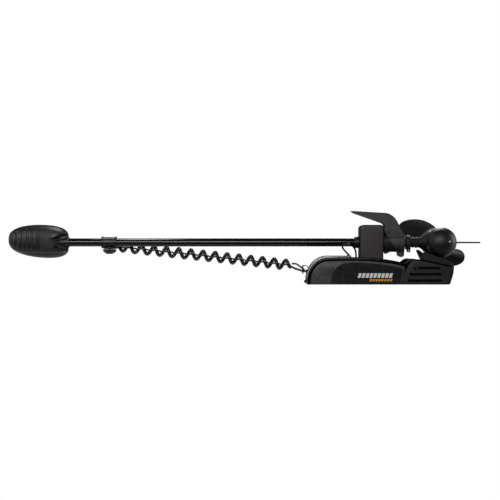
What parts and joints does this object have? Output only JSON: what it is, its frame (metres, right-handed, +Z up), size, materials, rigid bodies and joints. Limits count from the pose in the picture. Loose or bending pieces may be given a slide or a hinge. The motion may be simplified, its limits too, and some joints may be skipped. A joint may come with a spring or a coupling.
{
  "type": "trolling motor",
  "caption": "Bow-mount electric trolling motor lying stowed on its mount, with head, shaft, coil cord, powered steering unit, stow horn, motor pod and propeller.",
  "frame": {"origin": "centre of the mount's underside, on the deck", "axes": "+X towards the bow along the mount and the stowed shaft, +Y to port, +Z up"},
  "size_m": [1.5526, 0.289, 0.239],
  "materials": {
    "aluminium_plate": "satin",
    "fairing": "satin",
    "cover_gloss": "gloss",
    "cover_charcoal": "satin",
    "ramp_plastic": "satin",
    "steel": "satin",
    "bronze": "satin",
    "case_charcoal": "matte",
    "satin_black": "satin",
    "ring_grey": "satin",
    "motor_can": "satin",
    "cord_rubber": "satin",
    "shaft_gloss": "gloss",
    "motor_paint": "gloss",
    "circuit": "matte",
    "magnet": "matte",
    "windings": "satin",
    "propeller_plastic": "gloss"
  },
  "bodies": {
    "mount": {"base_plate": "aluminium_plate", "starboard_side_plate": "aluminium_plate", "port_side_plate": "aluminium_plate", "starboard_rear_cover": "cover_gloss", "port_rear_cover": "cover_gloss", "starboard_front_cover": "cover_charcoal", "port_front_cover": "cover_charcoal", "starboard_motor_ramp": "ramp_plastic", "port_motor_ramp": "ramp_plastic", "pivot_pin": "steel", "lever_pin": "steel", "lever_spring": "steel"},
    "release_lever": {"release_lever": "satin_black"},
    "swing": {"swing_channel": "aluminium_plate", "swing_fairing": "fairing", "starboard_pivot_bush": "bronze", "port_pivot_bush": "bronze", "latch_bar": "steel", "starboard_steering_case": "case_charcoal", "port_steering_case": "case_charcoal", "upper_bush": "satin_black", "output_tube": "satin_black", "lower_bush": "ring_grey", "steering_motor": "motor_can", "starboard_horn": "case_charcoal", "port_horn": "case_charcoal", "horn_screw": "steel", "clamp_ring": "satin_black", "clamp_screw": "steel", "steering_cable": "cord_rubber", "cable_clip": "satin_black", "cord_gland": "cord_rubber", "cord_tail": "cord_rubber", "tail_wire": "cord_rubber", "cable_tie": "satin_black", "coil_cord": "cord_rubber"},
    "output_gear": {"output_gear": "bronze"},
    "drive_pinion": {"drive_pinion": "steel"},
    "depth_collar": {"depth_collar": "satin_black", "cord_clip": "satin_black"},
    "collar_knob": {"collar_knob": "satin_black"},
    "column": {"shaft_tube": "shaft_gloss", "head_lower_shell": "satin_black", "head_upper_shell": "satin_black", "circuit_board": "circuit", "head_gland": "cord_rubber", "head_lead": "cord_rubber", "neck_ring": "ring_grey", "motor_neck": "satin_black", "motor_housing": "motor_paint", "nose_cap": "motor_paint", "rear_cap": "motor_paint", "skeg": "motor_paint", "upper_magnet": "magnet", "lower_magnet": "magnet", "shaft_seal": "cord_rubber"},
    "rotor": {"armature": "windings", "rotor_shaft": "steel", "propeller": "propeller_plastic", "prop_nut": "steel"}
  },
  "joints": [
    {"name": "stow_tilt", "type": "hinge", "parent": "mount", "child": "swing", "pos_m": [0.2228, 0, 0.031], "axis": [0, 1, 0], "range_deg": [0, 90]},
    {"name": "lever_press", "type": "hinge", "parent": "mount", "child": "release_lever", "pos_m": [-0.205, 0, 0.012], "axis": [0, 1, 0], "range_deg": [-6, 0], "stiffness_Nm_per_rad": 2, "springref_deg": 8.59},
    {"name": "depth_slide", "type": "slide", "parent": "swing", "child": "depth_collar", "axis": [1, 0, 0], "range_m": [0, 0.7], "deforming": ["coil_cord"]},
    {"name": "steer", "type": "hinge", "parent": "depth_collar", "child": "column", "pos_m": [0, 0, 0.136], "axis": [1, 0, 0], "range_deg": [-180, 180]},
    {"name": "output_gear_spin", "type": "hinge", "parent": "swing", "child": "output_gear", "pos_m": [0, 0, 0.136], "axis": [1, 0, 0], "range_deg": [-180, 180]},
    {"name": "pinion_spin", "type": "hinge", "parent": "swing", "child": "drive_pinion", "pos_m": [0, 0, 0.09815], "axis": [1, 0, 0], "range_deg": [-720, 720]},
    {"name": "knob_turn", "type": "hinge", "parent": "depth_collar", "child": "collar_knob", "pos_m": [-0.88, 0, 0.106], "axis": [0, 0, 1], "range_deg": [0, 540]},
    {"name": "propeller_spin", "type": "hinge", "parent": "column", "child": "rotor", "pos_m": [0.2005, 0.19, 0.136], "axis": [0, 1, 0], "continuous": true}
  ],
  "couplings": [
    {"joint": "steer", "follows": "depth_slide", "rad_per_m": -2.244},
    {"joint": "output_gear_spin", "follows": "depth_slide", "rad_per_m": -2.244},
    {"joint": "pinion_spin", "follows": "depth_slide", "rad_per_m": 8.976}
  ]
}
